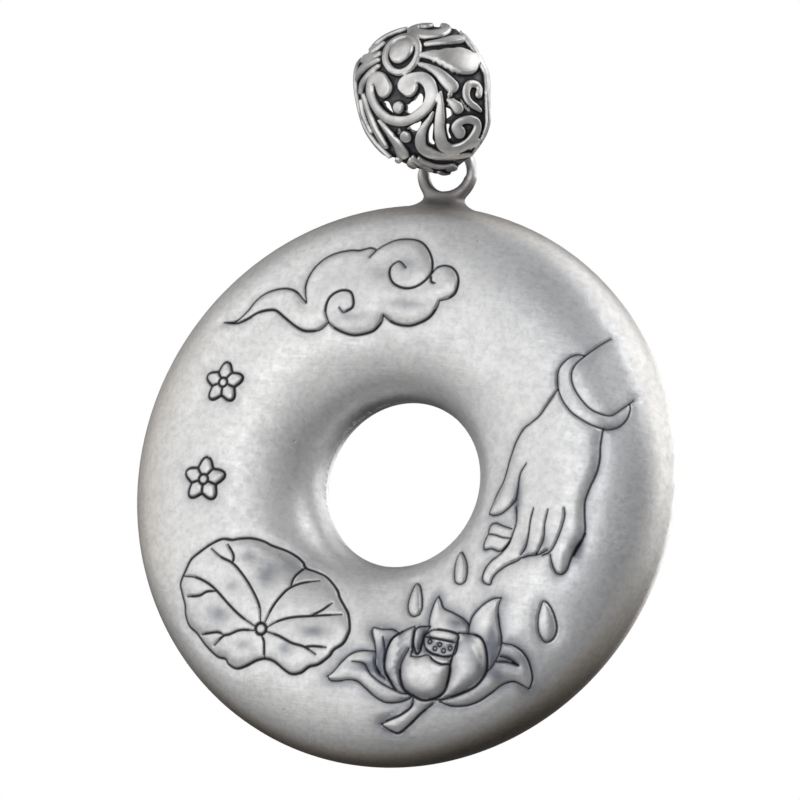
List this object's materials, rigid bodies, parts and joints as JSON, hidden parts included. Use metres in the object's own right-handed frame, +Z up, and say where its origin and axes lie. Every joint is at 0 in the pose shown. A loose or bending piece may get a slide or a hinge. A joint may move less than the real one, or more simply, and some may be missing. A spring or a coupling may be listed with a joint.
{
  "type": "puffed ring pendant with pierced scroll bail",
  "caption": "Puffed hollow silver ring pendant with an ornamented face, a soldered eye and a pierced, domed scroll bail that it swings on.",
  "frame": {"origin": "point between the two side rims of the bail's channel where the cord or chain bears", "axes": "+Z up as it hangs, -Y out of the ornamented face, +X to the viewer's right"},
  "size_m": [0.04, 0.0093, 0.0529],
  "materials": {
    "satin_silver": "satin silver with dark engraved lines and soft tarnish",
    "oxidised_silver": "polished scrolls over blackened ground"
  },
  "bodies": {
    "bail": {"scroll_bail": "oxidised_silver"},
    "ring": {"pendant_ring": "satin_silver"}
  },
  "joints": [
    {"name": "ring_swing", "type": "hinge", "parent": "bail", "child": "ring", "pos_m": [0.00367, 0.0007, -0.0064], "axis": [1, 0, 0], "range_deg": [-25, 25]}
  ]
}
